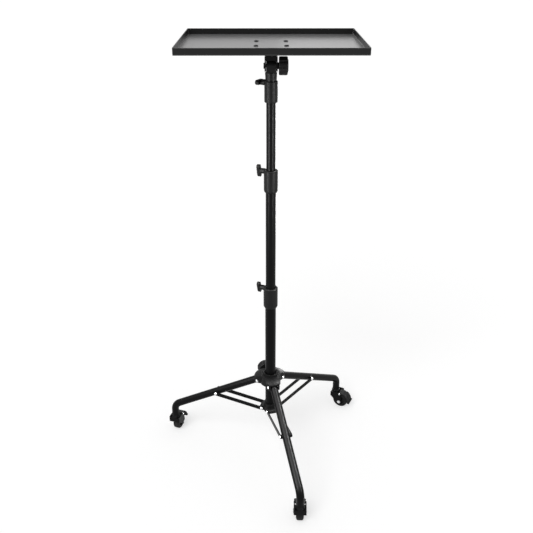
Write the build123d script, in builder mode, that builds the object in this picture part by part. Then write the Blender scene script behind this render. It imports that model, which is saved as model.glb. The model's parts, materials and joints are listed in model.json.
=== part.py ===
from build123d import *
import os
from math import atan2, cos, degrees, hypot, radians, sin, sqrt, tan

# Portable projector stand: a flat tray on a tilting head, a three-stage telescopic column
# and a folding tripod base on swivel casters. Millimetres, +Z up, floor at Z = 0.

os.makedirs("parts", exist_ok=True)

# Fits
slide_clearance = 0.3
pin_clearance = 0.08
seat_clearance = 0.05
side_clearance = 0.4

# Tripod footprint
leg_azimuths = {"left": 164.6, "right": 44.6, "front": 284.6}
caster_headings = {"left": 72.0, "right": -27.0, "front": 88.0}
leg_reach = 281.0
leg_end_height = 58.5
leg_tail = 34.5
leg_slope = 28.9
leg_bend_radius = 28.0
leg_tube_radius = 10.0
leg_wall = 1.5
leg_inner_overhang = 8.0

# Folding linkage
hinge_radius = 32.5
brace_pin_along_leg = 136.0
spider_pin_radius = 21.5
spider_pin_height = 142.5
linkage_pin_radius = 3.0
pin_head_radius = 4.2
pin_head_height = 1.8
pin_head_taper = 32.0
strut_width = 10.0
strut_thickness = 2.5
strut_offset = 13.0
leg_boss_radius = 5.5

# Telescopic column
tube_wall = 1.2
upper_tube_radius = 10.5
middle_tube_radius = upper_tube_radius + tube_wall + slide_clearance
lower_tube_radius = middle_tube_radius + tube_wall + slide_clearance
column_bottom = 134.5
lower_tube_length = 370.0
middle_exposed = 250.0
upper_exposed = 154.0
middle_insertion = 90.0
upper_insertion = 90.0
end_cap_flange = 3.0
end_cap_plug = 12.0

# Collars and their wing screws
collar_wall = 4.2
lower_collar_length = 55.0
middle_collar_length = 53.0
socket_length = 46.0
collar_lip = 5.0
collar_bevel = 4.0
socket_bevel = 1.6
collar_edge = 1.4
screw_below_rim = 4.5
screw_azimuth = 158.0
screw_pad_radius = 6.4
screw_pad_height = 2.4
wing_boss_radius = 6.4
wing_boss_length = 7.0
wing_boss_taper = 3.0
wing_length = 31.0
wing_width = 10.5
wing_thickness = 8.0
wing_round = 2.5
wing_turns = {"lower_collar": 74.0, "middle_collar": 76.0, "top_socket": 3.0}

# Head
head_stem_radius = 8.6
head_stem_length = 18.0
head_post_foot_radius = 12.2
head_post_top_radius = 13.2
head_shoulder_drop = 14.0
tongue_round = 11.0
tilt_pivot_above_socket = 31.0
tilt_bolt_radius = 4.0
bracket_outer_width = 28.0
bracket_cheek = 3.0
bracket_depth = 24.0
bracket_ear_round = 12.0
bracket_web_height = 21.0
bracket_web = 9.0
bracket_bend = 3.0
bracket_neck_radius = 11.0
bracket_plate_size = 84.0
bracket_plate_thickness = 2.5
bracket_plate_corner = 6.0
tilt_nut_radius = 6.5
tilt_nut_height = 2.2

# Round grip knobs
knob_radius = 19.5
knob_length = 19.0
knob_edge = 2.5
knob_flutes = 10
knob_flute_radius = 2.6
knob_flute_depth = 1.3
knob_neck_radius = 7.0
tilt_knob_gap = 2.5

# Tray
tray_width = 380.0
tray_depth = 288.0
tray_lip = 14.0
tray_sheet = 1.2
tray_corner = 4.0
tray_slit = 1.0
tray_above_pivot = 44.0

# Leg hub
hub_wall = 3.6
hub_neck_height = 26.0
hub_neck_ring = 1.6
hub_neck_recess = 2.2
hub_neck_recess_depth = 4.0
hub_body_radius = 27.0
hub_lobe_width = 30.0
hub_lobe_reach = 10.5
hub_lobe_round = 6.0
hub_lobe_cover = 6.6
hub_lobe_foot = 5.5
hub_roof_width = 38.0
hub_roof_round = 14.0
hub_roof_rise = 7.5
hub_dome_rise = 21.0
hub_dome_bulge = 3.0
hub_screw_azimuth = 107.0
hub_screw_below_top = 19.0
hub_screw_boss_radius = 8.0
hub_screw_boss_reach = 33.0
hub_knob_gap = 6.0

# Brace spider
spider_wall = 3.6
spider_below_pin = 11.0
spider_above_pin = 16.0
spider_lug_round = 6.5

# Casters
caster_flange = 3.0
caster_stem_radius = 4.0
caster_stem_length = 24.0
caster_socket_depth = 28.0
caster_gap = 0.3
fork_race_radius = 10.0
fork_race_height = 1.6
fork_cap_radius = 12.0
fork_cap_height = 3.4
fork_plate = 2.5
fork_inner_width = 26.0
fork_front = 11.0
fork_rear = 21.0
fork_bridge_rear = 10.0
fork_cheek_top_drop = 2.2
fork_apron_height = 14.0
fork_cheek_round = 3.0
wheel_radius = 22.0
wheel_width = 18.0
wheel_trail = 17.0
wheel_core_radius = 16.0
wheel_web = 9.0
wheel_rim = 2.5
wheel_hub_radius = 6.5
wheel_side_gap = 0.6
tyre_round = 4.5
axle_radius = 3.0
axle_head_radius = 5.0
axle_head_height = 2.0
axle_boss_radius = 7.5
pedal_gap = 3.5
pedal_thickness = 3.0
pedal_pin_radius = 2.0
pedal_barrel_radius = 2.8
pedal_arm_width = 23.0
pedal_paddle_width = 29.0
pedal_arm_from = 90.0
pedal_paddle_from = 56.0
pedal_toe = 3.5

# Heights and places worked out from the sizes above
leg_direction = (cos(radians(leg_slope)), -sin(radians(leg_slope)))
leg_corner_height = leg_end_height + leg_tail
hinge_height = leg_corner_height + (leg_reach - hinge_radius) * tan(radians(leg_slope))
brace_pin_radius = hinge_radius + brace_pin_along_leg * leg_direction[0]
brace_pin_height = hinge_height + brace_pin_along_leg * leg_direction[1]
brace_run = brace_pin_radius - spider_pin_radius
brace_climb = brace_pin_height - spider_pin_height
brace_length = hypot(brace_run, brace_climb)
brace_angle = degrees(atan2(brace_climb, brace_run))
strut_outside = strut_offset + strut_thickness
boss_reach = strut_offset - side_clearance
boss_root = sqrt((leg_tube_radius - leg_wall / 2) ** 2 - leg_boss_radius ** 2)

lower_tube_top = column_bottom + lower_tube_length
lower_collar_top = lower_tube_top + collar_lip
middle_collar_top = lower_collar_top + middle_exposed + middle_collar_length
middle_tube_top = middle_collar_top - collar_lip
middle_tube_bottom = lower_tube_top - middle_insertion
socket_top = middle_collar_top + upper_exposed + socket_length
upper_tube_top = socket_top - head_stem_length - seat_clearance
upper_tube_bottom = middle_tube_top - upper_insertion
tilt_height = socket_top + tilt_pivot_above_socket
tray_underside = tilt_height + tray_above_pivot

fork_top = leg_end_height - caster_flange - caster_gap
fork_outer_width = fork_inner_width + 2 * fork_plate
fork_bridge_top = fork_top - fork_race_height - fork_cap_height
fork_apron_foot = fork_bridge_top - fork_apron_height
pedal_inside = wheel_radius + pedal_gap
pedal_outside = pedal_inside + pedal_thickness
pedal_tip = wheel_trail + pedal_outside + pedal_toe

# The origin is the middle of the footprint, so the column stands a little off it
left_azimuth = radians(leg_azimuths["left"])
right_azimuth = radians(leg_azimuths["right"])
front_azimuth = radians(leg_azimuths["front"])
left_heading = radians(caster_headings["left"])
right_heading = radians(caster_headings["right"])
front_heading = radians(caster_headings["front"])
fork_half = fork_outer_width / 2
left_overhang = fork_front * cos(left_heading) + fork_half * sin(left_heading)
right_overhang = pedal_tip * cos(right_heading) - pedal_paddle_width / 2 * sin(right_heading)
front_overhang = fork_front * sin(front_heading) + fork_half * cos(front_heading)
rear_overhang = fork_half * cos(right_heading) - fork_front * sin(right_heading)
column_x = (left_overhang - right_overhang - leg_reach * (cos(left_azimuth) + cos(right_azimuth))) / 2
column_y = (front_overhang - rear_overhang - leg_reach * (sin(front_azimuth) + sin(right_azimuth))) / 2
column_axis = Axis((column_x, column_y, 0), (0, 0, 1))


# Level plane about the column at a height
def column_plane(height):
    return Plane((column_x, column_y, height))


# Upright plane through the column: local x runs outwards, local y runs up
def side_plane(azimuth):
    out = (cos(radians(azimuth)), sin(radians(azimuth)), 0)
    return Plane((column_x, column_y, 0), x_dir=out, z_dir=(out[1], -out[0], 0))


# Plane facing outwards from the column, for a screw at a reach and a height
def facing_plane(azimuth, reach, height):
    out = (cos(radians(azimuth)), sin(radians(azimuth)), 0)
    place = (column_x + reach * out[0], column_y + reach * out[1], height)
    return Plane(place, x_dir=(-out[1], out[0], 0), z_dir=out)


# Upright plane through a caster's swivel axis, along the way its wheel trails
def caster_plane(leg):
    azimuth = radians(leg_azimuths[leg])
    heading = radians(caster_headings[leg])
    place = (column_x + leg_reach * cos(azimuth), column_y + leg_reach * sin(azimuth), 0)
    return Plane(place, x_dir=(cos(heading), sin(heading), 0), z_dir=(sin(heading), -cos(heading), 0))


# Telescopic tubes
tubes = {
    "lower_tube": (lower_tube_radius, column_bottom, lower_tube_top),
    "middle_tube": (middle_tube_radius, middle_tube_bottom, middle_tube_top),
    "upper_tube": (upper_tube_radius, upper_tube_bottom, upper_tube_top),
}
for name, (radius, bottom, top) in tubes.items():
    with BuildPart() as tube:
        with BuildSketch(column_plane(bottom)):
            Circle(radius)
            Circle(radius - tube_wall, mode=Mode.SUBTRACT)
        extrude(amount=top - bottom)
    tube.part.label = name
    export_step(tube.part, f"parts/{name}.step")

# Clamp collars, each with a pad for its wing screw
collars = {
    "lower_collar": (lower_tube_radius, middle_tube_radius + slide_clearance, lower_tube_top,
                     lower_collar_top, lower_collar_length, collar_bevel),
    "middle_collar": (middle_tube_radius, upper_tube_radius + slide_clearance, middle_tube_top,
                      middle_collar_top, middle_collar_length, collar_bevel),
    "top_socket": (upper_tube_radius, head_stem_radius + pin_clearance, upper_tube_top,
                   socket_top, socket_length, socket_bevel),
}
for name, (radius, lip_bore, tube_top, top, length, bevel) in collars.items():
    outside = radius + collar_wall
    bore = radius + seat_clearance
    with BuildPart() as collar:
        with BuildSketch(side_plane(0)):
            with BuildLine():
                Polyline(
                    (bore, top - length),
                    (outside - bevel / 2, top - length),
                    (outside, top - length + bevel),
                    (outside, top - collar_edge),
                    (outside - collar_edge, top),
                    (lip_bore, top),
                    (lip_bore, tube_top),
                    (bore, tube_top),
                    close=True,
                )
            make_face()
        revolve(axis=column_axis)
        with BuildSketch(facing_plane(screw_azimuth, outside - collar_edge, top - screw_below_rim)):
            Circle(screw_pad_radius)
        extrude(amount=collar_edge + screw_pad_height)
    collar.part.label = name
    export_step(collar.part, f"parts/{name}.step")

# Wing screws on the collars
for name, (radius, lip_bore, tube_top, top, length, bevel) in collars.items():
    seat = radius + collar_wall + screw_pad_height
    height = top - screw_below_rim
    grip = seat + wing_boss_length
    with BuildPart() as wing:
        with BuildSketch(facing_plane(screw_azimuth, seat, height)):
            Circle(wing_boss_radius)
        extrude(amount=wing_boss_length, taper=wing_boss_taper)
        with BuildSketch(facing_plane(screw_azimuth, grip, height)):
            SlotOverall(wing_length, wing_width, rotation=wing_turns[name])
        extrude(amount=wing_thickness)
        outward = Axis(column_plane(0).origin, facing_plane(screw_azimuth, 0, 0).z_dir)
        fillet(wing.faces().sort_by(outward)[-1].edges(), wing_round)
    wing.part.label = f"{name}_knob"
    export_step(wing.part, f"parts/{name}_knob.step")

# Cap that closes the foot of the column
with BuildPart() as column_end_cap:
    with BuildSketch(column_plane(column_bottom - end_cap_flange)):
        Circle(lower_tube_radius)
    extrude(amount=end_cap_flange)
    with BuildSketch(column_plane(column_bottom)):
        Circle(lower_tube_radius - tube_wall - seat_clearance)
    extrude(amount=end_cap_plug)
column_end_cap.part.label = "column_end_cap"
export_step(column_end_cap.part, "parts/column_end_cap.step")

# Fixed spider that carries the feet of the braces
spider_outside = lower_tube_radius + spider_wall
with BuildPart() as brace_spider:
    with BuildSketch(column_plane(spider_pin_height - spider_below_pin)):
        Circle(spider_outside)
    extrude(amount=spider_below_pin + spider_above_pin)
    for azimuth in leg_azimuths.values():
        with BuildSketch(side_plane(azimuth)):
            with Locations((spider_pin_radius, spider_pin_height)):
                Circle(spider_lug_round)
            with Locations((spider_pin_radius / 2, spider_pin_height)):
                Rectangle(spider_pin_radius, 2 * spider_lug_round)
        extrude(amount=boss_reach, both=True)
    with BuildSketch(column_plane(spider_pin_height - spider_below_pin)):
        Circle(lower_tube_radius + seat_clearance)
    extrude(amount=spider_below_pin + spider_above_pin, mode=Mode.SUBTRACT)
    for azimuth in leg_azimuths.values():
        with BuildSketch(side_plane(azimuth)):
            with Locations((spider_pin_radius, spider_pin_height)):
                Circle(linkage_pin_radius + pin_clearance)
        extrude(amount=boss_reach, both=True, mode=Mode.SUBTRACT)
brace_spider.part.label = "brace_spider"
export_step(brace_spider.part, "parts/brace_spider.step")

# Sliding leg hub: a domed body on the column with three lobes that the legs hinge in, each under a wider roof
hub_inside = lower_tube_radius + slide_clearance
hub_outside = hub_inside + hub_wall
hub_top = hinge_height + hub_neck_height
hub_bottom = hinge_height - hub_lobe_foot
hub_dome_top = hinge_height + hub_dome_rise
leg_top_rise = (leg_tube_radius + side_clearance) / cos(radians(leg_slope))
lobe_end = hinge_radius + hub_lobe_reach
lobe_end_top = hinge_height - hub_lobe_reach * tan(radians(leg_slope)) + leg_top_rise + hub_lobe_cover
slot_half_width = leg_tube_radius + side_clearance
slot_length = 2 * leg_tube_radius
leg_end_sweep = hypot(leg_inner_overhang, leg_tube_radius) + side_clearance
hub_tiers = (
    (hub_bottom, hub_lobe_width, hub_lobe_round),
    (hinge_height + hub_roof_rise, hub_roof_width, hub_roof_round),
)
with BuildPart() as leg_hub:
    for foot, width, corner in hub_tiers:
        with BuildSketch(column_plane(foot)):
            Circle(hub_body_radius)
            for azimuth in leg_azimuths.values():
                with Locations((lobe_end / 2 * cos(radians(azimuth)), lobe_end / 2 * sin(radians(azimuth)))):
                    RectangleRounded(lobe_end, width, corner, rotation=azimuth)
        extrude(amount=hub_dome_top - foot)
    with BuildSketch(side_plane(0)):
        with BuildLine():
            dome = SagittaArc((lobe_end, lobe_end_top), (hub_outside, hub_dome_top), -hub_dome_bulge)
            Polyline(dome @ 1, (0, hub_dome_top), (0, hub_bottom), (lobe_end, hub_bottom), dome @ 0)
        make_face()
    revolve(axis=column_axis, mode=Mode.INTERSECT)
    with BuildSketch(column_plane(hinge_height)):
        Circle(hub_outside + hub_neck_ring)
    extrude(amount=hub_neck_height)
    with BuildSketch(facing_plane(hub_screw_azimuth, 0, hub_top - hub_screw_below_top)):
        Circle(hub_screw_boss_radius)
    extrude(amount=hub_screw_boss_reach)
    for azimuth in leg_azimuths.values():
        with BuildSketch(side_plane(azimuth)):
            with BuildLine():
                Polyline(
                    (hinge_radius, hinge_height + leg_top_rise),
                    (hinge_radius + slot_length * leg_direction[0],
                     hinge_height + leg_top_rise + slot_length * leg_direction[1]),
                    (hinge_radius + slot_length, hub_bottom - slot_length),
                    (hinge_radius - leg_end_sweep, hub_bottom - slot_length),
                    (hinge_radius - leg_end_sweep, hinge_height),
                    close=True,
                )
            make_face()
            with Locations((hinge_radius, hinge_height)):
                Circle(leg_end_sweep)
        extrude(amount=slot_half_width, both=True, mode=Mode.SUBTRACT)
        with BuildSketch(side_plane(azimuth)):
            with Locations((hinge_radius, hinge_height)):
                Circle(linkage_pin_radius + seat_clearance)
        extrude(amount=hub_lobe_width, both=True, mode=Mode.SUBTRACT)
    with BuildSketch(column_plane(hub_bottom)):
        Circle(hub_inside)
    extrude(amount=hub_top - hub_bottom, mode=Mode.SUBTRACT)
    with BuildSketch(column_plane(hub_top - hub_neck_recess_depth)):
        Circle(hub_inside + hub_neck_recess)
    extrude(amount=hub_neck_recess_depth, mode=Mode.SUBTRACT)
leg_hub.part.label = "leg_hub"
export_step(leg_hub.part, "parts/leg_hub.step")

# Hinge pins that carry the legs in the hub
with BuildPart() as hinge_pins:
    for azimuth in leg_azimuths.values():
        with BuildSketch(side_plane(azimuth)):
            with Locations((hinge_radius, hinge_height)):
                Circle(linkage_pin_radius)
        extrude(amount=hub_lobe_width / 2, both=True)
        for side in (1, -1):
            with BuildSketch(side_plane(azimuth).offset(side * hub_lobe_width / 2)):
                with Locations((hinge_radius, hinge_height)):
                    Circle(pin_head_radius)
            extrude(amount=side * pin_head_height, taper=pin_head_taper)
hinge_pins.part.label = "hinge_pins"
export_step(hinge_pins.part, "parts/hinge_pins.step")

# Fluted grip knobs: one locks the hub on the column, one locks the tilt
def grip_knob(face, neck_length):
    with BuildPart() as knob:
        with BuildSketch(face):
            Circle(knob_neck_radius)
        extrude(amount=neck_length)
        with BuildSketch(face.offset(neck_length)):
            Circle(knob_radius)
        extrude(amount=knob_length)
        ends = knob.edges().filter_by(GeomType.CIRCLE).sort_by(SortBy.RADIUS)[-2:]
        fillet(ends, knob_edge)
        with BuildSketch(face.offset(neck_length)):
            with PolarLocations(knob_radius + knob_flute_radius - knob_flute_depth, knob_flutes):
                Circle(knob_flute_radius)
        extrude(amount=knob_length, mode=Mode.SUBTRACT)
    return knob


hub_knob = grip_knob(
    facing_plane(hub_screw_azimuth, hub_screw_boss_reach, hub_top - hub_screw_below_top), hub_knob_gap)
hub_knob.part.label = "hub_knob"
export_step(hub_knob.part, "parts/hub_knob.step")

# Head: a post that turns in the socket, with a tongue for the tilting bracket
tongue_width = bracket_outer_width - 2 * bracket_cheek - 2 * slide_clearance
tilt_plane = facing_plane(0, 0, tilt_height)
with BuildPart() as tilt_base:
    with BuildSketch(side_plane(0)):
        with BuildLine():
            Polyline(
                (0, socket_top - head_stem_length),
                (head_stem_radius, socket_top - head_stem_length),
                (head_stem_radius, socket_top + slide_clearance),
                (head_post_foot_radius, socket_top + slide_clearance),
                (head_post_top_radius, tilt_height - head_shoulder_drop),
                (0, tilt_height - head_shoulder_drop),
                close=True,
            )
        make_face()
    revolve(axis=column_axis)
    with BuildSketch(tilt_plane):
        Circle(tongue_round)
        with Locations((0, -head_shoulder_drop / 2)):
            Rectangle(2 * tongue_round, head_shoulder_drop)
    extrude(amount=tongue_width / 2, both=True)
    with BuildSketch(tilt_plane):
        Circle(tilt_bolt_radius + pin_clearance)
    extrude(amount=tongue_width, both=True, mode=Mode.SUBTRACT)
tilt_base.part.label = "tilt_base"
export_step(tilt_base.part, "parts/tilt_base.step")

# Bracket under the tray: a plate, a neck and a yoke that straddles the tongue
web_top = tilt_height + bracket_web_height
with BuildPart() as tray_bracket:
    with BuildSketch(side_plane(0)):
        with Locations((0, (web_top + tilt_height - bracket_ear_round) / 2)):
            Rectangle(bracket_outer_width, bracket_web_height + bracket_ear_round)
    extrude(amount=bracket_depth / 2, both=True)
    bends = tray_bracket.edges().filter_by(Axis.Y).group_by(Axis.Z)[-1]
    fillet(bends, bracket_bend)
    with BuildSketch(side_plane(0)):
        with Locations((0, web_top - bracket_web)):
            Rectangle(bracket_outer_width - 2 * bracket_cheek, bracket_web_height + bracket_ear_round,
                      align=(Align.CENTER, Align.MAX))
    extrude(amount=bracket_depth, both=True, mode=Mode.SUBTRACT)
    feet = tray_bracket.edges().filter_by(Axis.X).group_by(Axis.Z)[0]
    fillet(feet, bracket_ear_round - seat_clearance)
    with BuildSketch(column_plane(web_top - bracket_web / 2)):
        Circle(bracket_neck_radius)
    extrude(amount=tray_underside - web_top + bracket_web / 2)
    with BuildSketch(column_plane(tray_underside - bracket_plate_thickness)):
        RectangleRounded(bracket_plate_size, bracket_plate_size, bracket_plate_corner)
    extrude(amount=bracket_plate_thickness)
    with BuildSketch(tilt_plane):
        Circle(tilt_bolt_radius + seat_clearance)
    extrude(amount=bracket_outer_width, both=True, mode=Mode.SUBTRACT)
tray_bracket.part.label = "tray_bracket"
export_step(tray_bracket.part, "parts/tray_bracket.step")

# Tilt knob with its bolt, and the nut at the far ear
tilt_grip = grip_knob(facing_plane(0, bracket_outer_width / 2, tilt_height), tilt_knob_gap)
with BuildPart() as tilt_knob:
    add(tilt_grip.part)
    with BuildSketch(facing_plane(0, bracket_outer_width / 2, tilt_height)):
        Circle(tilt_bolt_radius)
    extrude(amount=-bracket_outer_width)
    with BuildSketch(facing_plane(0, -bracket_outer_width / 2, tilt_height)):
        RegularPolygon(tilt_nut_radius, 6)
    extrude(amount=-tilt_nut_height)
tilt_knob.part.label = "tilt_knob"
export_step(tilt_knob.part, "parts/tilt_knob.step")

# Tray: one folded sheet with upturned lips and open corner seams
with BuildPart() as tray_pan:
    with BuildSketch(column_plane(tray_underside)):
        RectangleRounded(tray_width, tray_depth, tray_corner)
    extrude(amount=tray_lip)
    with BuildSketch(column_plane(tray_underside + tray_sheet)):
        RectangleRounded(tray_width - 2 * tray_sheet, tray_depth - 2 * tray_sheet, tray_corner - tray_sheet)
    extrude(amount=tray_lip, mode=Mode.SUBTRACT)
    for turn, corner_x, corner_y in ((45, 1, 1), (135, -1, 1), (45, -1, -1), (135, 1, -1)):
        with BuildSketch(column_plane(tray_underside + 2 * tray_sheet)):
            with Locations((corner_x * (tray_width / 2 - tray_corner / 2),
                            corner_y * (tray_depth / 2 - tray_corner / 2))):
                Rectangle(2 * tray_corner, tray_slit, rotation=turn)
        extrude(amount=tray_lip, mode=Mode.SUBTRACT)
tray_pan.part.label = "tray_pan"
export_step(tray_pan.part, "parts/tray_pan.step")

# One leg of the tripod with its braces and caster, three times round
for leg, azimuth in leg_azimuths.items():
    leg_plane = side_plane(azimuth)
    hinge = (hinge_radius, hinge_height)
    brace_pin = (brace_pin_radius, brace_pin_height)
    spider_pin = (spider_pin_radius, spider_pin_height)
    inner_end = (hinge_radius - leg_inner_overhang * leg_direction[0],
                 hinge_height - leg_inner_overhang * leg_direction[1])

    # Round leg tube, bent down to its caster, with a boss each side for the braces
    with BuildPart() as leg_tube:
        with BuildLine(leg_plane) as leg_line:
            FilletPolyline(inner_end, (leg_reach, leg_corner_height), (leg_reach, leg_end_height),
                           radius=leg_bend_radius)
        with BuildSketch(Plane(leg_line.line @ 0, x_dir=leg_plane.z_dir, z_dir=leg_line.line % 0)):
            Circle(leg_tube_radius)
            Circle(leg_tube_radius - leg_wall, mode=Mode.SUBTRACT)
        sweep()
        for side in (1, -1):
            with BuildSketch(leg_plane.offset(side * boss_root)):
                with Locations(brace_pin):
                    Circle(leg_boss_radius)
            extrude(amount=side * (boss_reach - boss_root))
        with BuildSketch(leg_plane):
            with Locations(hinge):
                Circle(linkage_pin_radius + pin_clearance)
        extrude(amount=boss_reach, both=True, mode=Mode.SUBTRACT)
    leg_tube.part.label = f"{leg}_leg"
    export_step(leg_tube.part, f"parts/{leg}_leg.step")

    # Pair of flat struts
    with BuildPart() as brace:
        for side in (1, -1):
            with BuildSketch(leg_plane.offset(side * strut_offset)):
                with Locations(((brace_pin[0] + spider_pin[0]) / 2, (brace_pin[1] + spider_pin[1]) / 2)):
                    SlotCenterToCenter(brace_length, strut_width, rotation=brace_angle)
                with Locations(brace_pin, spider_pin):
                    Circle(linkage_pin_radius + seat_clearance, mode=Mode.SUBTRACT)
            extrude(amount=side * strut_thickness)
    brace.part.label = f"{leg}_brace"
    export_step(brace.part, f"parts/{leg}_brace.step")

    # Pin through the spider, and a rivet in each strut's upper end
    with BuildPart() as brace_pins:
        with BuildSketch(leg_plane):
            with Locations(spider_pin):
                Circle(linkage_pin_radius)
        extrude(amount=strut_outside, both=True)
        for side in (1, -1):
            with BuildSketch(leg_plane.offset(side * strut_offset)):
                with Locations(brace_pin):
                    Circle(linkage_pin_radius)
            extrude(amount=side * strut_thickness)
            with BuildSketch(leg_plane.offset(side * strut_outside)):
                with Locations(brace_pin, spider_pin):
                    Circle(pin_head_radius)
            extrude(amount=side * pin_head_height, taper=pin_head_taper)
    brace_pins.part.label = f"{leg}_brace_pins"
    export_step(brace_pins.part, f"parts/{leg}_brace_pins.step")

    # Plug in the leg's end that the caster's stem turns in
    caster = caster_plane(leg)
    leg_foot = Plane(leg_plane.from_local_coords((leg_reach, leg_end_height, 0)), x_dir=leg_plane.x_dir)
    with BuildPart() as socket:
        with BuildSketch(leg_foot):
            Circle(leg_tube_radius)
        extrude(amount=-caster_flange)
        with BuildSketch(leg_foot):
            Circle(leg_tube_radius - leg_wall - seat_clearance)
        extrude(amount=leg_tail - leg_bend_radius * tan(radians(45 - leg_slope / 2)))
        with BuildSketch(leg_foot.offset(-caster_flange)):
            Circle(caster_stem_radius + pin_clearance)
        extrude(amount=caster_socket_depth, mode=Mode.SUBTRACT)
    socket.part.label = f"{leg}_caster_socket"
    export_step(socket.part, f"parts/{leg}_caster_socket.step")

    # Caster fork: swivel race, cap and stem, a bridge with an apron in front, and two cheeks
    axle = (wheel_trail, wheel_radius)
    pedal_pin = (wheel_trail, wheel_radius + (pedal_inside + pedal_outside) / 2)
    cheek_top = fork_top - fork_cheek_top_drop
    swivel_top = Plane(caster.from_local_coords((0, fork_top, 0)))
    with BuildPart() as fork:
        with BuildSketch(swivel_top):
            Circle(fork_race_radius)
        extrude(amount=-fork_race_height)
        with BuildSketch(swivel_top.offset(-fork_race_height)):
            Circle(fork_cap_radius)
        extrude(amount=-fork_cap_height)
        with BuildSketch(swivel_top):
            Circle(caster_stem_radius)
        extrude(amount=caster_stem_length - caster_flange)
        with BuildSketch(caster):
            with Locations((-fork_front, fork_bridge_top)):
                Rectangle(fork_bridge_rear + fork_front, fork_plate, align=(Align.MIN, Align.MAX))
                Rectangle(fork_plate, fork_apron_height, align=(Align.MIN, Align.MAX))
        extrude(amount=fork_half, both=True)
        for side in (1, -1):
            with BuildSketch(caster.offset(side * fork_inner_width / 2)):
                with Locations(axle):
                    Circle(axle_boss_radius)
                with Locations(((fork_rear - fork_front) / 2, (cheek_top + fork_apron_foot) / 2)):
                    RectangleRounded(fork_rear + fork_front, cheek_top - fork_apron_foot, fork_cheek_round)
                make_hull()
                with Locations(axle):
                    Circle(axle_radius + seat_clearance, mode=Mode.SUBTRACT)
                with Locations(pedal_pin):
                    Circle(pedal_pin_radius + pin_clearance, mode=Mode.SUBTRACT)
            extrude(amount=side * fork_plate)
    fork.part.label = f"{leg}_caster_fork"
    export_step(fork.part, f"parts/{leg}_caster_fork.step")

    # Axle bolt through the cheeks
    with BuildPart() as axle_bolt:
        with BuildSketch(caster):
            with Locations(axle):
                Circle(axle_radius)
        extrude(amount=fork_half, both=True)
        for side in (1, -1):
            with BuildSketch(caster.offset(side * fork_half)):
                with Locations(axle):
                    RegularPolygon(axle_head_radius, 6)
            extrude(amount=side * axle_head_height)
    axle_bolt.part.label = f"{leg}_caster_axle"
    export_step(axle_bolt.part, f"parts/{leg}_caster_axle.step")

    # Wheel core and tyre
    axle_axis = Axis(caster.from_local_coords((wheel_trail, wheel_radius, 0)), caster.z_dir)
    wheel_plane = Plane(axle_axis.position, x_dir=caster.z_dir, z_dir=-caster.x_dir)
    hub_half = fork_inner_width / 2 - wheel_side_gap
    with BuildPart() as wheel:
        with BuildSketch(wheel_plane):
            with BuildLine():
                Polyline(
                    (-hub_half, axle_radius + pin_clearance),
                    (-hub_half, wheel_hub_radius),
                    (-wheel_web / 2, wheel_hub_radius),
                    (-wheel_web / 2, wheel_core_radius - wheel_rim),
                    (-wheel_width / 2, wheel_core_radius - wheel_rim),
                    (-wheel_width / 2, wheel_core_radius),
                    (wheel_width / 2, wheel_core_radius),
                    (wheel_width / 2, wheel_core_radius - wheel_rim),
                    (wheel_web / 2, wheel_core_radius - wheel_rim),
                    (wheel_web / 2, wheel_hub_radius),
                    (hub_half, wheel_hub_radius),
                    (hub_half, axle_radius + pin_clearance),
                    close=True,
                )
            make_face()
        revolve(axis=axle_axis)
    wheel.part.label = f"{leg}_caster_wheel"
    export_step(wheel.part, f"parts/{leg}_caster_wheel.step")

    with BuildPart() as tyre:
        with BuildSketch(wheel_plane):
            with Locations((0, (wheel_radius + wheel_core_radius + seat_clearance) / 2)):
                Rectangle(wheel_width, wheel_radius - wheel_core_radius - seat_clearance)
        revolve(axis=axle_axis)
        fillet(tyre.edges().filter_by(GeomType.CIRCLE).sort_by(SortBy.RADIUS)[-2:], tyre_round)
    tyre.part.label = f"{leg}_caster_tyre"
    export_step(tyre.part, f"parts/{leg}_caster_tyre.step")

    # Brake pedal: a curved guard behind the tyre, hinged over the axle, with a toe at its end
    with BuildPart() as pedal:
        with BuildSketch(caster):
            with Locations(pedal_pin):
                Circle(pedal_pin_radius)
        extrude(amount=fork_half, both=True)
        with BuildSketch(caster):
            with Locations(pedal_pin):
                Circle(pedal_barrel_radius)
        extrude(amount=pedal_arm_width / 2, both=True)
        for start, width in ((pedal_arm_from, pedal_arm_width), (pedal_paddle_from, pedal_paddle_width)):
            with BuildSketch(caster):
                with BuildLine():
                    inner = CenterArc(axle, pedal_inside, 0, start)
                    outer = CenterArc(axle, pedal_outside, 0, start)
                    Line(inner @ 0, outer @ 0)
                    Line(inner @ 1, outer @ 1)
                make_face()
            extrude(amount=width / 2, both=True)
        with BuildSketch(caster):
            with Locations((wheel_trail + pedal_inside, wheel_radius)):
                Rectangle(pedal_thickness + pedal_toe, pedal_thickness, align=(Align.MIN, Align.MIN))
        extrude(amount=pedal_paddle_width / 2, both=True)
    pedal.part.label = f"{leg}_caster_brake"
    export_step(pedal.part, f"parts/{leg}_caster_brake.step")
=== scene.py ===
import bpy
import bmesh
import json
import math
from mathutils import Matrix, Vector


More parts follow.
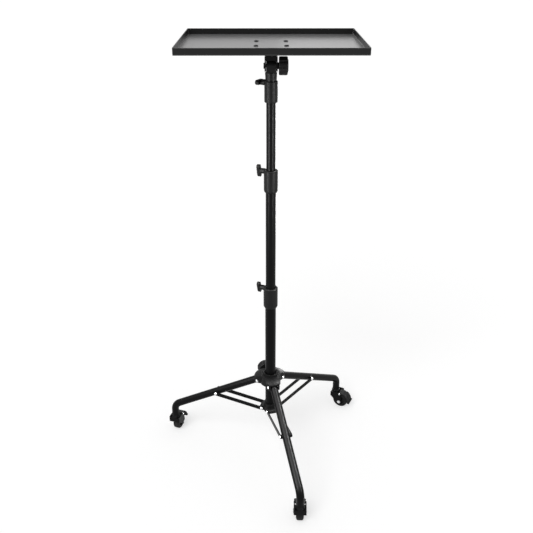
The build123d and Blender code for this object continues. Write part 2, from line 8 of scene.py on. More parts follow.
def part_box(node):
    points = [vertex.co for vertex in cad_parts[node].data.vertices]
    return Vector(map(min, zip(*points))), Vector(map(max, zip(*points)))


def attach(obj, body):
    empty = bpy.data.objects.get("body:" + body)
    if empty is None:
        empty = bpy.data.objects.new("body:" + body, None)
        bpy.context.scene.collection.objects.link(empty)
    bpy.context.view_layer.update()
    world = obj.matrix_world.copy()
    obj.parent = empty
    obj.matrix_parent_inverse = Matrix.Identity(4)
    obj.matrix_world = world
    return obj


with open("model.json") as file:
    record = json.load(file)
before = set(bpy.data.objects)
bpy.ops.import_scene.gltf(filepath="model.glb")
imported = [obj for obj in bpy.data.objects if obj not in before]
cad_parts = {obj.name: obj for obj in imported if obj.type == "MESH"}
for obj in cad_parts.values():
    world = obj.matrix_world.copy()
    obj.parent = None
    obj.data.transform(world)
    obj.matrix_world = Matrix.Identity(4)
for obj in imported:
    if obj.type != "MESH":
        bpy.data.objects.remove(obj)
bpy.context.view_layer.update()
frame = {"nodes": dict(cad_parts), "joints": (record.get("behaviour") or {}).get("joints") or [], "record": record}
nodes = frame["nodes"]
joints = {row["name"]: row for row in frame["joints"]}
legs = ("left", "right", "front")
across = Vector((1, 0, 0))  # along the tray's long side
deep = Vector((0, 1, 0))  # away from the viewer
up = Vector((0, 0, 1))
scene = bpy.context.scene
scene.view_settings.view_transform = "Standard"
print("frame loaded,", len(nodes), "nodes")


def addObject(name, data):
    made = bpy.data.objects.new(name, data)
    scene.collection.objects.link(made)
    return made


def middleOf(node):
    low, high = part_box(node)
    return (low + high) / 2


def topOf(node):
    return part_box(node)[1].z


def jointPlace(name):
    return Vector(joints[name]["pos_m"])


def jointAxis(name):
    return Vector(joints[name]["axis"]).normalized()


def compass(azimuth):  # level direction, in degrees from +X
    turn = math.radians(azimuth)
    return Vector((math.cos(turn), math.sin(turn), 0))


columnMiddle = middleOf("lower_tube")


def onColumn(height):  # the upright axis that everything stands about
    return Vector((columnMiddle.x, columnMiddle.y, height))


# camera at the photograph's view, measured from the column's foot
viewPoint = {
    "right": -0.0102,
    "front": 1.481,
    "height": 1.3035,
    "lookDown": 26.45,
    "roll": -0.05,
    "focalPixels": 678.0,
    "imagePixels": 533.0,
    "sensor": 36.0,
    "farClip": 200.0,
}
cameraData = bpy.data.cameras.new("photoCamera")
cameraData.sensor_width = viewPoint["sensor"]
cameraData.lens = viewPoint["focalPixels"] * viewPoint["sensor"] / viewPoint["imagePixels"]
cameraData.clip_end = viewPoint["farClip"]
camera = addObject("photoCamera", cameraData)
cameraStand = onColumn(viewPoint["height"]) + viewPoint["right"] * across - viewPoint["front"] * deep
tip = Matrix.Rotation(math.radians(90 - viewPoint["lookDown"]), 4, "X")
roll = Matrix.Rotation(math.radians(viewPoint["roll"]), 4, "Z")
camera.matrix_world = Matrix.Translation(cameraStand) @ tip @ roll
scene.camera = camera
print("camera placed")


# a socket that can be used in Python sums, each operator adds a Math node
class Wire:
    def __init__(self, tree, socket):
        self.tree = tree
        self.socket = socket

    def sum(self, operation, first, second):
        return self.tree.node("ShaderNodeMath", {"operation": operation}, {0: first, 1: second})

    def __add__(self, other):
        return self.sum("ADD", self, other)

    def __radd__(self, other):
        return self.sum("ADD", other, self)

    def __sub__(self, other):
        return self.sum("SUBTRACT", self, other)

    def __rsub__(self, other):
        return self.sum("SUBTRACT", other, self)

    def __mul__(self, other):
        return self.sum("MULTIPLY", self, other)

    def __rmul__(self, other):
        return self.sum("MULTIPLY", other, self)


# any node tree: one method makes every node, settings first, then values or links
class Tree:
    def __init__(self, nodeTree):
        self.nodeTree = nodeTree
        nodeTree.nodes.clear()

    def node(self, kind, settings, inputs, output=0):
        made = self.nodeTree.nodes.new(kind)
        for key, value in settings.items():
            if key == "stops":
                ramp = made.color_ramp
                while len(ramp.elements) < len(value):
                    ramp.elements.new(0.5)
                for element, (position, shade) in zip(ramp.elements, value):
                    element.position = position
                    element.color = (shade, shade, shade, 1)
            else:
                setattr(made, key, value)
        for key, value in inputs.items():
            if isinstance(value, Wire):
                self.nodeTree.links.new(value.socket, made.inputs[key])
            else:
                made.inputs[key].default_value = value
        return Wire(self, made.outputs[output]) if made.outputs else None


noiseMiddle = 0.5  # noise swings about this value


# a material tree with the few patterns that the finishes share
class Finish(Tree):
    def __init__(self, name):
        self.material = bpy.data.materials.new(name)
        self.material.use_nodes = True
        super().__init__(self.material.node_tree)

    def objectSpot(self):
        return self.node("ShaderNodeTexCoord", {}, {}, "Object")

    def noise(self, scale, detail, rough=0.5, stretch=(1, 1, 1)):
        spot = self.node("ShaderNodeMapping", {}, {"Vector": self.objectSpot(), "Scale": stretch})
        return self.node("ShaderNodeTexNoise", {},
                         {"Vector": spot, "Scale": scale, "Detail": detail, "Roughness": rough})

    def ramp(self, value, stops):
        return self.node("ShaderNodeValToRGB", {"stops": stops}, {"Fac": value})

    def mix(self, factor, first, second):  # inputs 6 and 7 and output 2 are the colours
        first = first if isinstance(first, Wire) else (*first, 1)
        return self.node("ShaderNodeMix", {"data_type": "RGBA"},
                         {0: factor, 6: first, 7: (*second, 1)}, 2)

    def bump(self, height, strength, depth):
        return self.node("ShaderNodeBump", {},
                         {"Strength": strength, "Distance": depth, "Height": height})

    def shader(self, **inputs):
        names = {"base": "Base Color", "rough": "Roughness", "metal": "Metallic", "normal": "Normal",
                 "specular": "Specular IOR Level", "sheen": "Sheen Weight", "sheenRough": "Sheen Roughness"}
        return self.node("ShaderNodeBsdfPrincipled", {},
                         {names[key]: value for key, value in inputs.items()})

    def finished(self, shader):
        self.node("ShaderNodeOutputMaterial", {}, {"Surface": shader})
        return self.material

    def surface(self, **inputs):
        return self.finished(self.shader(**inputs))


# black satin powder coat on the tubes and struts: orange peel, fine grain and a few rubbed marks
tubeCoat = {
    "dark": (0.0024, 0.0024, 0.0026), "light": (0.005, 0.005, 0.0054), "rubbed": (0.012, 0.012, 0.0125),
    "patch": {"scale": 14, "detail": 3},
    "peel": {"scale": 420, "detail": 2},
    "grain": {"scale": 2400, "detail": 1},
    "rub": {"scale": 55, "detail": 5, "rough": 0.65, "stretch": (1, 1, 0.25)},
    "rubStops": [(0.66, 0.0), (0.80, 0.7)],
    "rough": 0.335, "patchRough": 0.08, "grainRough": 0.05, "specular": 0.07,
    "peelShare": 0.7, "grainShare": 0.3, "bump": 0.045, "bumpDepth": 0.0004,
}


def makeTubeCoat():
    look = tubeCoat
    finish = Finish("tubeCoat")
    patch = finish.noise(**look["patch"])
    peel = finish.noise(**look["peel"])
    grain = finish.noise(**look["grain"])
    rub = finish.ramp(finish.noise(**look["rub"]), look["rubStops"])
    uneven = look["patchRough"] * (patch - noiseMiddle) + look["grainRough"] * (grain - noiseMiddle)
    relief = look["peelShare"] * peel + look["grainShare"] * grain
    return finish.surface(
        base=finish.mix(rub, finish.mix(patch, look["dark"], look["light"]), look["rubbed"]),
        rough=look["rough"] + uneven,
        normal=finish.bump(relief, look["bump"], look["bumpDepth"]),
        specular=look["specular"],
    )


# the tray's coat: its flat floor is smoother, with a dry sheen that takes the light at a low angle
trayCoat = {
    "dark": (0.010, 0.010, 0.0102), "light": (0.016, 0.016, 0.0163), "scuffed": (0.026, 0.026, 0.0265),
    "patch": {"scale": 9, "detail": 3},
    "peel": {"scale": 520, "detail": 2},
    "scuff": {"scale": 38, "detail": 6, "rough": 0.7, "stretch": (0.3, 1, 1)},
    "scuffStops": [(0.64, 0.0), (0.82, 0.6)],
    "patchRough": 0.08, "scuffRough": 0.10, "bump": 0.06, "bumpDepth": 0.0003,
    "lipRough": 0.30, "lipSpecular": 0.18, "lipFoot": 0.002,
    "floorRough": 0.25, "floorSpecular": 0.5, "floorSheen": 0.4, "sheenRough": 0.4,
}


def makeTrayCoat():
    look = trayCoat
    finish = Finish("trayCoat")
    patch = finish.noise(**look["patch"])
    peel = finish.noise(**look["peel"])
    scuff = finish.ramp(finish.noise(**look["scuff"]), look["scuffStops"])
    base = finish.mix(scuff, finish.mix(patch, look["dark"], look["light"]), look["scuffed"])
    uneven = look["patchRough"] * (patch - noiseMiddle) + look["scuffRough"] * scuff
    normal = finish.bump(peel, look["bump"], look["bumpDepth"])
    lip = finish.shader(base=base, rough=look["lipRough"] + uneven, normal=normal,
                        specular=look["lipSpecular"])
    flat = finish.shader(base=base, rough=look["floorRough"] + uneven, normal=normal,
                         specular=look["floorSpecular"], sheen=look["floorSheen"],
                         sheenRough=look["sheenRough"])
    height = finish.node("ShaderNodeSeparateXYZ", {}, {"Vector": finish.objectSpot()}, "Z")
    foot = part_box("tray_pan")[0].z + look["lipFoot"]
    onLip = finish.node("ShaderNodeMath", {"operation": "GREATER_THAN"}, {0: height, 1: foot})
    return finish.finished(finish.node("ShaderNodeMixShader", {}, {0: onLip, 1: flat, 2: lip}))


# black moulded plastic with a spark-eroded grain
mouldedBlack = {
    "dark": (0.008, 0.008, 0.0082), "light": (0.016, 0.016, 0.0163),
    "patch": {"scale": 22, "detail": 3},
    "grain": {"scale": 1700, "detail": 3, "rough": 0.65},
    "rough": 0.45, "patchRough": 0.10, "grainRough": 0.06, "specular": 0.09,
    "bump": 0.22, "bumpDepth": 0.0003,
}

# softer grip plastic on knobs, wings and pedals
gripBlack = {
    "dark": (0.0025, 0.0025, 0.0026), "light": (0.0065, 0.0065, 0.0066),
    "patch": {"scale": 35, "detail": 3},
    "grain": {"scale": 2200, "detail": 3, "rough": 0.7},
    "rough": 0.545, "patchRough": 0.12, "grainRough": 0.05, "specular": 0.12,
    "bump": 0.3, "bumpDepth": 0.0003,
}


def makePlastic(name, look):
    finish = Finish(name)
    patch = finish.noise(**look["patch"])
    grain = finish.noise(**look["grain"])
    uneven = look["patchRough"] * (patch - noiseMiddle) + look["grainRough"] * (grain - noiseMiddle)
    return finish.surface(
        base=finish.mix(patch, look["dark"], look["light"]),
        rough=look["rough"] + uneven,
        normal=finish.bump(grain, look["bump"], look["bumpDepth"]),
        specular=look["specular"],
    )


# bright zinc plate on rivets, pins and bolts
zincPlate = {
    "dark": (0.55, 0.56, 0.58), "light": (0.82, 0.82, 0.81),
    "cloud": {"scale": 260, "detail": 4},
    "drawn": {"scale": 900, "detail": 2, "rough": 0.6, "stretch": (1, 1, 0.15)},
    "rough": 0.28, "drawnRough": 0.16, "bump": 0.08, "bumpDepth": 0.0002,
}

# blackened steel on the small screws
blackSteel = {
    "dark": (0.012, 0.012, 0.013), "light": (0.03, 0.03, 0.032),
    "cloud": {"scale": 420, "detail": 4},
    "drawn": {"scale": 420, "detail": 4},
    "rough": 0.43, "drawnRough": 0.14, "bump": 0.1, "bumpDepth": 0.0002,
}


def makePlated(name, look):
    finish = Finish(name)
    cloud = finish.noise(**look["cloud"])
    drawn = finish.noise(**look["drawn"])
    return finish.surface(
        base=finish.mix(cloud, look["dark"], look["light"]),
        rough=look["rough"] + look["drawnRough"] * (drawn - noiseMiddle),
        metal=1.0,
        normal=finish.bump(drawn, look["bump"], look["bumpDepth"]),
    )


# matt tyre rubber with a trace of floor dust
tyreRubber = {
    "clean": (0.004, 0.004, 0.004), "dusty": (0.018, 0.0175, 0.017),
    "dust": {"scale": 120, "detail": 4, "rough": 0.6},
    "dustStops": [(0.46, 0.0), (0.76, 1.0)],
    "grain": {"scale": 2600, "detail": 2},
    "rough": 0.74, "dustRough": 0.10, "specular": 0.22, "bump": 0.25, "bumpDepth": 0.0002,
}


def makeTyreRubber():
    look = tyreRubber
    finish = Finish("tyreRubber")
    dust = finish.ramp(finish.noise(**look["dust"]), look["dustStops"])
    grain = finish.noise(**look["grain"])
    return finish.surface(
        base=finish.mix(dust, look["clean"], look["dusty"]),
        rough=look["rough"] + look["dustRough"] * dust,
        normal=finish.bump(grain, look["bump"], look["bumpDepth"]),
        specular=look["specular"],
    )


finishes = {
    "black_powder_coat": makeTubeCoat(),
    "moulded_black": makePlastic("mouldedBlack", mouldedBlack),
    "zinc_plate": makePlated("zincPlate", zincPlate),
    "tyre_rubber": makeTyreRubber(),
    "tray": makeTrayCoat(),
    "grip": makePlastic("gripBlack", gripBlack),
    "screw": makePlated("blackSteel", blackSteel),
}


def finishFor(node, slot):
    if node == "tray_pan":
        return finishes["tray"]
    if node.endswith(("_knob", "_brake")):
        return finishes["grip"]
    return finishes[slot]


for subpart in frame["record"]["subparts"]:
    mesh = nodes[subpart["node"]].data
    mesh.materials.clear()
    mesh.materials.append(finishFor(subpart["node"], subpart["material_slot"]))
print("finishes on the CAD nodes")


sharpAngle = 32.0  # degrees, edges that turn more than this stay crisp


def finishedMesh(name, shape):
    bmesh.ops.recalc_face_normals(shape, faces=shape.faces)
    for face in shape.faces:
        face.smooth = True
    mesh = bpy.data.meshes.new(name)
    shape.to_mesh(mesh)
    shape.free()
    mesh.set_sharp_from_angle(angle=math.radians(sharpAngle))
    return mesh


# a turned shape about Z from (radius, height) shares, outwards from the axis or round a closed ring
def turned(name, profile, steps, radius=1.0, height=1.0):
    shape = bmesh.new()
    rings = []
    for out, rise in profile:
        turns = [2 * math.pi * step / steps for step in range(steps if out else 1)]
        rings.append([shape.verts.new((out * radius * math.cos(turn), out * radius * math.sin(turn),
                                       rise * height)) for turn in turns])
    follow = rings[1:] + rings[:1] if profile[0][0] else rings[1:]
    for low, high in zip(rings, follow):
        for step in range(steps):
            corners = [low[step % len(low)], low[(step + 1) % len(low)],
                       high[(step + 1) % len(high)], high[step % len(high)]]
            shape.faces.new(list(dict.fromkeys(corners)))
    return finishedMesh(name, shape)


def plainMesh(piece):  # what the piece's modifiers make of it
    graph = bpy.context.evaluated_depsgraph_get()
    return bpy.data.meshes.new_from_object(piece.evaluated_get(graph))


# cuts a cross recess into the crown of a screw head
def crossCut(mesh, length, width, depth, crown):
    cutter = bmesh.new()
    for sizeX, sizeY in ((length, width), (width, length)):
        block = bmesh.ops.create_cube(cutter, size=1)
        bmesh.ops.scale(cutter, vec=(sizeX, sizeY, 2 * depth), verts=block["verts"])
        bmesh.ops.translate(cutter, vec=(0, 0, crown), verts=block["verts"])
    tool = addObject("recessTool", finishedMesh("recessTool", cutter))
    head = addObject("recessHead", mesh)
    cut = head.modifiers.new("recess", "BOOLEAN")
    cut.object = tool
    cut.operation = "DIFFERENCE"
    cut.solver = "EXACT"
    cut.use_self = True
    result = plainMesh(head)
    for helper in (tool, head):
        bpy.data.objects.remove(helper)
    return result


def openTree(name, inputs):
    group = bpy.data.node_groups.new(name, "GeometryNodeTree")
    for label, kind in inputs.items():
        group.interface.new_socket(label, in_out="INPUT", socket_type="NodeSocket" + kind)
    group.interface.new_socket("Made", in_out="OUTPUT", socket_type="NodeSocketGeometry")
    tree = Tree(group)
    return tree, {label: tree.node("NodeGroupInput", {}, {}, label) for label in inputs}


def closeTree(tree, geometry, finish):
    real = tree.node("GeometryNodeRealizeInstances", {}, {"Geometry": geometry})
    done = tree.node("GeometryNodeSetMaterial", {}, {"Geometry": real, "Material": finish})
    tree.node("NodeGroupOutput", {}, {"Made": done})
    return tree.nodeTree


# repeats an item on spots that carry a facing and an along direction
def makeSpotTree():
    tree, given = openTree("itemOnSpots", {"Spots": "Geometry", "Item": "Object", "Size": "Float",
                                           "Finish": "Material"})
    facing, along = (tree.node("GeometryNodeInputNamedAttribute", {"data_type": "FLOAT_VECTOR"},
                               {"Name": key}) for key in ("facing", "along"))
    turn = tree.node("FunctionNodeAxesToRotation", {"primary_axis": "Z", "secondary_axis": "X"},
                     {0: facing, 1: along})
    item = tree.node("GeometryNodeObjectInfo", {}, {"Object": given["Item"]}, "Geometry")
    placed = tree.node("GeometryNodeInstanceOnPoints", {},
                       {"Points": given["Spots"], "Instance": item, "Rotation": turn,
                        "Scale": given["Size"]})
    return closeTree(tree, placed, given["Finish"])


# runs a round bead along every line of a wire mesh
def makeBeadTree():
    tree, given = openTree("beadOnLines", {"Lines": "Geometry", "Bead": "Float", "Sides": "Int",
                                           "Finish": "Material"})
    path = tree.node("GeometryNodeMeshToCurve", {}, {"Mesh": given["Lines"]})
    section = tree.node("GeometryNodeCurvePrimitiveCircle", {},
                        {"Resolution": given["Sides"], "Radius": given["Bead"]})
    swept = tree.node("GeometryNodeCurveToMesh", {},
                      {"Curve": path, "Profile Curve": section, "Fill Caps": True})
    smooth = tree.node("GeometryNodeSetShadeSmooth", {}, {0: swept})
    return closeTree(tree, smooth, given["Finish"])


spotTree = makeSpotTree()
beadTree = makeBeadTree()


# runs a tree on a base mesh and leaves a plain mesh that rides on a body
def bake(name, base, group, values, finish, body):
    piece = addObject(name, base)
    maker = piece.modifiers.new("maker", "NODES")
    maker.node_group = group
    values = {**values, "Finish": finishes[finish]}
    for socket in group.interface.items_tree:
        if socket.name in values:
            maker[socket.identifier] = values[socket.name]
    result = plainMesh(piece)
    result.name = name
    piece.modifiers.clear()
    piece.data = result
    bpy.data.meshes.remove(base)
    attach(piece, body)


# puts one mesh on many spots, each a (place, facing, along) row
def repeat(name, mesh, spots, finish, body):
    base = bpy.data.meshes.new(name + "Spots")
    base.from_pydata([place for place, facing, along in spots], [], [])
    for index, key in ((1, "facing"), (2, "along")):
        store = base.attributes.new(key, "FLOAT_VECTOR", "POINT")
        for row, spot in zip(store.data, spots):
            row.vector = spot[index]
    item = addObject(name + "Item", mesh)
    bake(name, base, spotTree, {"Item": item, "Size": 1.0}, finish, body)
    bpy.data.objects.remove(item)


# runs a bead along each line of points
def bead(name, lines, radius, finish, body, closed=False, sides=8):
    points, edges = [], []
    for line in lines:
        first = len(points)
        points += line
        edges += [(first + step, first + step + 1) for step in range(len(line) - 1)]
        if closed:
            edges.append((len(points) - 1, first))
    base = bpy.data.meshes.new(name + "Lines")
    base.from_pydata(points, edges, [])
    bake(name, base, beadTree, {"Bead": radius, "Sides": sides}, finish, body)


def ring(middle, axis, radius, count):
    side = axis.orthogonal().normalized()
    other = axis.cross(side)
    turns = [2 * math.pi * step / count for step in range(count)]
    return [middle + radius * (math.cos(turn) * side + math.sin(turn) * other) for turn in turns]


# tray: four cross-recess screws, their washers and nuts below, and a rounded edge on each lip
trayFittings = {
    "sheet": 0.0012, "plate": 0.0025,
    "screwsAcross": 0.063, "screwsDeep": 0.065, "firstTurn": 17.0, "turnStep": 31.0,
    "head": {"radius": 0.0048, "height": 0.0022, "steps": 24,
             "profile": [(0, 0), (1, 0), (1, 0.4), (0.93, 0.7), (0.72, 0.92), (0.4, 1), (0, 1)]},
    "recess": {"length": 0.0052, "width": 0.0013, "depth": 0.0012},
    "washer": {"radius": 0.0062, "height": 0.0008, "steps": 28,
               "profile": [(0.55, 0), (1, 0), (1, 1), (0.55, 1)]},
    "nut": {"radius": 0.0046, "height": 0.0032, "steps": 6,
            "profile": [(0, 0), (1, 0), (1, 0.85), (0.88, 1), (0.5, 1), (0.5, 1.3), (0, 1.3)]},
    "edgeBead": 0.0009, "edgeSides": 12, "cornerGap": 0.005,
}


def fastenTray():
    sizes = trayFittings
    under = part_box("tray_pan")[0].z
    headSeat = onColumn(under + sizes["sheet"])
    washerSeat = onColumn(under - sizes["plate"])
    nutSeat = washerSeat - sizes["washer"]["height"] * up
    heads, washers, nuts = [], [], []
    for sideX in (-1, 1):
        for sideY in (-1, 1):
            corner = (sideX * sizes["screwsAcross"] * across + sideY * sizes["screwsDeep"] * deep) / 2
            turn = sizes["firstTurn"] + sizes["turnStep"] * len(heads)  # each driven home at its own angle
            heads.append((headSeat + corner, up, compass(turn)))
            washers.append((washerSeat + corner, -up, across))
            nuts.append((nutSeat + corner, -up, across))
    head = turned("panHead", **sizes["head"])
    head = crossCut(head, **sizes["recess"], crown=sizes["head"]["height"])
    repeat("trayScrews", head, heads, "screw", "tray")
    repeat("trayWashers", turned("flatWasher", **sizes["washer"]), washers, "zinc_plate", "tray")
    repeat("trayNuts", turned("hexNut", **sizes["nut"]), nuts, "zinc_plate", "tray")


def edgeTray():
    sizes = trayFittings
    low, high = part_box("tray_pan")
    inset, gap = sizes["sheet"] / 2, sizes["cornerGap"]
    top = high.z - sizes["edgeBead"]
    lines = []
    for y in (low.y + inset, high.y - inset):
        lines.append([Vector((low.x + gap, y, top)), Vector((high.x - gap, y, top))])
    for x in (low.x + inset, high.x - inset):
        lines.append([Vector((x, low.y + gap, top)), Vector((x, high.y - gap, top))])
    bead("trayEdges", lines, sizes["edgeBead"], "tray", "tray", sides=sizes["edgeSides"])


fastenTray()
edgeTray()
print("tray fitted")


# weld bead where the bracket's neck meets its plate and its yoke
neckWeld = {
    "neck": 0.011, "plate": 0.0025, "yokeAbovePivot": 0.021, "blobs": 34,
    "blob": {"radius": 0.0017, "height": 0.0017, "steps": 8,
             "profile": [(0, -1), (0.8, -0.55), (1, 0), (0.8, 0.55), (0, 1)]},
}


def weldNeck():
    sizes = neckWeld
    plateUnder = topOf("tray_bracket") - sizes["plate"]
    yokeTop = jointPlace("tray_tilt").z + sizes["yokeAbovePivot"]
    spots = []
    for middle in (onColumn(plateUnder), onColumn(yokeTop)):
        for spot in ring(middle, up, sizes["neck"], sizes["blobs"]):
            spots.append((spot, (spot - middle).normalized(), up))
    repeat("neckWeld", turned("weldBlob", **sizes["blob"]), spots, "black_powder_coat", "tray")


weldNeck()
print("neck welded")


# round dished caps let into the ends of the two grip knobs
knobCaps = {
    "hubAzimuth": 107.0, "hubReach": 0.058,
    "cap": {"radius": 0.0135, "height": 0.0012, "steps": 40,
            "profile": [(0, 0), (1, 0), (1, 0.6), (0.94, 1), (0.72, 1),
                        (0.64, 1 / 3), (0.3, 0.6), (0, 2 / 3)]},
}


def capKnobs():
    sizes = knobCaps
    pivot = jointPlace("tray_tilt")
    tiltSpot = Vector((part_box("tilt_knob")[1].x, pivot.y, pivot.z))
    cap = turned("knobCap", **sizes["cap"])
    repeat("tiltKnobCap", cap, [(tiltSpot, across, up)], "moulded_black", "tray")
    out = compass(sizes["hubAzimuth"])
    hubSpot = onColumn(middleOf("hub_knob").z) + sizes["hubReach"] * out
    repeat("hubKnobCap", cap.copy(), [(hubSpot, out, up)], "moulded_black", "hub")


capKnobs()
print("knobs capped")


collarPlaces = {  # collar: tube that it holds, body
    "lower_collar": ("lower_tube", "column"),
    "middle_collar": ("middle_tube", "middle_stage"),
    "top_socket": ("upper_tube", "upper_stage"),
}


def tubeRadius(tube):
    low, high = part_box(tube)
    return (high.x - low.x) / 2


# ridges across the outer face of each wing screw
wingRidges = {
    "azimuth": 158.0, "faceBeyondTube": 0.0216,
    "ridges": 5, "pitch": 0.0042, "halfLength": 0.0034, "bead": 0.0007,
    "turns": {"lower_collar": 74.0, "middle_collar": 76.0, "top_socket": 3.0},
}


def ridgeWing(collar, tube, body):
    sizes = wingRidges
    out = compass(sizes["azimuth"])
    turn = math.radians(sizes["turns"][collar])
    wing = math.cos(turn) * up.cross(out) + math.sin(turn) * up
    half = sizes["halfLength"] * out.cross(wing)
    face = onColumn(middleOf(collar + "_knob").z) + (tubeRadius(tube) + sizes["faceBeyondTube"]) * out
    lines = []
    for step in range(sizes["ridges"]):
        spot = face + (step - (sizes["ridges"] - 1) / 2) * sizes["pitch"] * wing
        lines.append([spot - half, spot + half])
    bead(collar + "WingRidges", lines, sizes["bead"], "grip", body)


# moulding seams down both sides of each collar
collarSeams = {"wall": 0.0042, "foot": 0.006, "head": 0.0045, "azimuths": (68.0, 248.0),
               "bead": 0.0004, "sides": 6}


def seamCollar(collar, tube, body):
    sizes = collarSeams
    low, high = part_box(collar)
    lines = []
    for azimuth in sizes["azimuths"]:
        side = (tubeRadius(tube) + sizes["wall"]) * compass(azimuth)
        lines.append([onColumn(low.z + sizes["foot"]) + side, onColumn(high.z - sizes["head"]) + side])
    bead(collar + "Seams", lines, sizes["bead"], "moulded_black", body, sides=sizes["sides"])


for collar, (tube, body) in collarPlaces.items():
    ridgeWing(collar, tube, body)
    seamCollar(collar, tube, body)
print("collars dressed")


# the swivel, axle and pedal pin of a caster, and which way it points
def casterPlaces(leg):
    swivel = jointPlace(leg + "_swivel")
    axle = jointPlace(leg + "_wheel_spin")
    return {
        "swivel": swivel,
        "axle": axle,
        "pin": jointPlace(leg + "_brake_press"),
        "side": jointAxis(leg + "_wheel_spin"),
        "ahead": Vector((axle.x - swivel.x, axle.y - swivel.y, 0)).normalized(),
    }


casterFork = {"halfWidth": 0.0155, "top": 0.0552, "race": 0.0016, "bridgeUnder": 0.0477}


def onBothCheeks(place, side):  # spots on the fork's outer faces
    return [(place + way * casterFork["halfWidth"] * side, way * side, up) for way in (1, -1)]


pedalRibs = {"reach": 0.0285, "angles": (12.0, 22.0, 32.0, 42.0, 52.0),
             "halfLength": 0.0125, "bead": 0.0008}


def ribPedal(leg, at):
    half = pedalRibs["halfLength"] * at["side"]
    lines = []
    for angle in pedalRibs["angles"]:
        turn = math.radians(angle)
        spot = at["axle"] + pedalRibs["reach"] * (math.cos(turn) * at["ahead"] + math.sin(turn) * up)
        lines.append([spot - half, spot + half])
    bead(leg + "PedalRibs", lines, pedalRibs["bead"], "grip", leg + "_pedal")


pinCap = {"radius": 0.0028, "height": 0.001, "steps": 20,
          "profile": [(0, 0), (1, 0), (0.85, 0.6), (0.5, 0.93), (0, 1)]}


def capPins(leg, at):
    cap = turned("pinCap", **pinCap)
    repeat(leg + "PinCaps", cap, onBothCheeks(at["pin"], at["side"]), "zinc_plate", leg + "_pedal")


swivelRing = {"inner": 0.01005, "outer": 0.0116, "bevel": 0.0004, "height": 0.0012, "steps": 40}


def ringSwivel(leg, at):
    inner, outer, height = swivelRing["inner"], swivelRing["outer"], swivelRing["height"]
    profile = [(inner, 0), (outer, 0), (outer - swivelRing["bevel"], height), (inner, height)]
    spot = Vector((at["swivel"].x, at["swivel"].y, casterFork["top"] - casterFork["race"]))
    repeat(leg + "SwivelRing", turned("swivelRing", profile, swivelRing["steps"]),
           [(spot, up, at["ahead"])], "screw", leg + "_caster")


kingPin = {"radius": 0.0045, "height": 0.002, "steps": 24,
           "profile": [(0, 0), (1, 0), (0.9, 0.5), (0.55, 0.9), (0, 1)]}


def pinSwivel(leg, at):
    spot = Vector((at["swivel"].x, at["swivel"].y, casterFork["bridgeUnder"]))
    repeat(leg + "KingPin", turned("kingPin", **kingPin), [(spot, -up, at["ahead"])],
           "zinc_plate", leg + "_caster")


axleWasher = {"inner": 0.0048, "outer": 0.0066, "thick": 0.0006, "steps": 28}


def washAxle(leg, at):
    inner, outer, thick = axleWasher["inner"], axleWasher["outer"], axleWasher["thick"]
    profile = [(inner, 0), (outer, 0), (outer, thick), (inner, thick)]
    repeat(leg + "AxleWashers", turned("axleWasher", profile, axleWasher["steps"]),
           onBothCheeks(at["axle"], at["side"]), "screw", leg + "_caster")


wheelRibs = {"count": 6, "inner": 0.0062, "outer": 0.0138, "webHalf": 0.0045, "bead": 0.0012}


def ribWheel(leg, at):
    lines = []
    for way in (1, -1):
        middle = at["axle"] + way * wheelRibs["webHalf"] * at["side"]
        for step in range(wheelRibs["count"]):
            turn = 2 * math.pi * step / wheelRibs["count"]
            out = math.cos(turn) * at["ahead"] + math.sin(turn) * up
            lines.append([middle + wheelRibs["inner"] * out, middle + wheelRibs["outer"] * out])
    bead(leg + "WheelRibs", lines, wheelRibs["bead"], "moulded_black", leg + "_wheel")


tyreBeads = {"halfWidth": 0.009, "radius": 0.0168, "steps": 56, "bead": 0.0006, "sides": 6}


def beadTyre(leg, at):
    rings = []
    for way in (1, -1):
        middle = at["axle"] + way * tyreBeads["halfWidth"] * at["side"]
        rings.append(ring(middle, at["side"], tyreBeads["radius"], tyreBeads["steps"]))
    bead(leg + "TyreBeads", rings, tyreBeads["bead"], "tyre_rubber", leg + "_wheel",
         closed=True, sides=tyreBeads["sides"])


for leg in legs:
    places = casterPlaces(leg)
    for dress in (ribPedal, capPins, ringSwivel, pinSwivel, washAxle, ribWheel, beadTyre):
        dress(leg, places)
print("casters dressed")


studio = {
    "floorSize": 60.0, "floorDiffuse": 0.6, "floorGlow": 0.53, "ambient": 0.5,
    "sunShare": 0.42, "sunSize": 34.0, "sunTurn": (42.0, 0.0, -28.0),
}
white = (1, 1, 1, 1)


def seenDirectly(tree):  # 1 for what the camera, a mirror or glass shows
    camera, glossy, through = (tree.node("ShaderNodeLightPath", {}, {}, name)
                               for name in ("Is Camera Ray", "Is Glossy Ray", "Is Transmission Ray"))
    return tree.node("ShaderNodeMath", {"operation": "MINIMUM"}, {0: camera + glossy + through, 1: 1.0})


# pale floor that reads as white and keeps the shadow
def makeFloorFinish():
    finish = Finish("paleFloor")
    tone = studio["floorDiffuse"]
    diffuse = finish.node("ShaderNodeBsdfDiffuse", {}, {"Color": (tone, tone, tone, 1)})
    glow = finish.node("ShaderNodeEmission", {}, {"Color": white, "Strength": studio["floorGlow"]})
    both = finish.node("ShaderNodeAddShader", {}, {0: diffuse, 1: glow})
    return finish.finished(finish.node("ShaderNodeMixShader", {},
                                       {0: seenDirectly(finish), 1: diffuse, 2: both}))


def layFloor():
    half = studio["floorSize"] / 2
    corners = [(-half, -half, 0), (half, -half, 0), (half, half, 0), (-half, half, 0)]
    mesh = bpy.data.meshes.new("studioFloor")
    mesh.from_pydata(corners, [], [(0, 1, 2, 3)])
    mesh.materials.append(makeFloorFinish())
    floor = addObject("studioFloor", mesh)


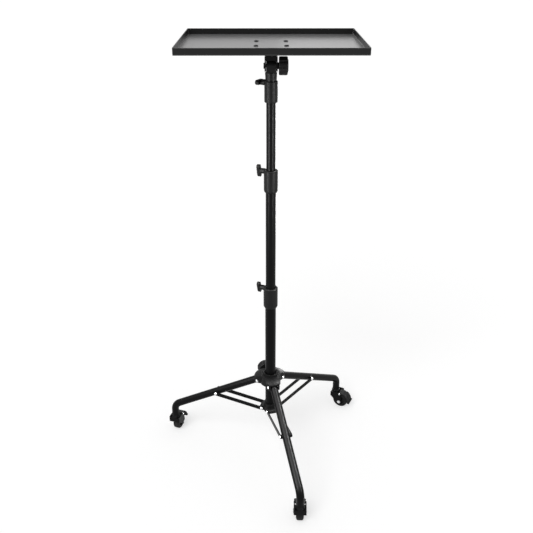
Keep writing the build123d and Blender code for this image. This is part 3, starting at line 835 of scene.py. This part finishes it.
# white surroundings for the eye, softer light for everything else
def lightSurroundings():
    world = bpy.data.worlds.new("studioWorld")
    scene.world = world
    world.use_nodes = True
    sky = Tree(world.node_tree)
    seen = seenDirectly(sky)
    backdrop = sky.node("ShaderNodeBackground", {},
                        {"Color": white, "Strength": seen + studio["ambient"] * (1 - seen)})
    sky.node("ShaderNodeOutputWorld", {}, {"Surface": backdrop})


def addSun():
    data = bpy.data.lights.new("keyLight", "SUN")
    data.energy = studio["sunShare"] * math.pi
    data.angle = math.radians(studio["sunSize"])
    addObject("keyLight", data).rotation_euler = [math.radians(angle) for angle in studio["sunTurn"]]


layFloor()
lightSurroundings()
addSun()

# the highlight lamps pass the tray by, or its flat lips would flare from other sides
passedBy = bpy.data.collections.new("passedBy")
for piece in (nodes["tray_pan"], bpy.data.objects["trayEdges"], bpy.data.objects["trayScrews"]):
    passedBy.objects.link(piece)
for row in passedBy.collection_objects:
    row.light_linking.link_state = "EXCLUDE"
trayAlone = bpy.data.collections.new("trayAlone")
trayAlone.objects.link(nodes["tray_pan"])


# a lamp that shows only as a highlight on what it reaches
def addLamp(name, sizes, stand, out, reached):
    data = bpy.data.lights.new(name, "AREA")
    data.shape = "RECTANGLE"
    data.size = sizes["width"]
    data.size_y = sizes["length"]
    data.energy = sizes["radiance"] * math.pi * sizes["width"] * sizes["length"]
    lamp = addObject(name, data)
    lamp.matrix_world = Matrix.Translation(stand) @ out.to_track_quat("Z", "Y").to_matrix().to_4x4()
    lamp.visible_camera = False
    lamp.visible_diffuse = False
    lamp.light_linking.receiver_collection = reached


strips = {  # upright, round the column, for the bands on the tubes
    "leftStrip": {"azimuth": 222.0, "reach": 0.85, "middle": 0.72,
                  "width": 0.14, "length": 0.5, "radiance": 60.0},
    "rightStrip": {"azimuth": 318.0, "reach": 0.85, "middle": 0.72,
                   "width": 0.14, "length": 0.5, "radiance": 48.0},
    "backStrip": {"azimuth": 75.0, "reach": 1.1, "middle": 0.5,
                  "width": 0.2, "length": 0.6, "radiance": 20.0},
}
for name, sizes in strips.items():
    out = compass(sizes["azimuth"])
    addLamp(name, sizes, onColumn(sizes["middle"]) + sizes["reach"] * out, out, passedBy)

overhead = {  # placed from the column's foot and turned to the front leg
    "broadLamp": {"place": (-0.35, -0.55, 1.9), "width": 0.8, "length": 0.7, "radiance": 17.0},
    "sideLamp": {"place": (-1.2, -0.35, 1.4), "width": 0.9, "length": 0.9, "radiance": 12.0},
    "narrowLamp": {"place": (1.0, -0.05, 1.6), "width": 0.16, "length": 0.8, "radiance": 190.0},
}
for name, sizes in overhead.items():
    stand = onColumn(0) + Vector(sizes["place"])
    addLamp(name, sizes, stand, stand - middleOf("front_leg"), passedBy)

# a faint window behind on the right, mirrored in the tray only
trayWindow = {"azimuth": 67.0, "reach": 2.36, "middle": 1.5, "width": 1.7, "length": 0.8, "radiance": 0.45}
windowStand = onColumn(trayWindow["middle"]) + trayWindow["reach"] * compass(trayWindow["azimuth"])
addLamp("trayWindow", trayWindow, windowStand, deep, trayAlone)
print("studio lit")
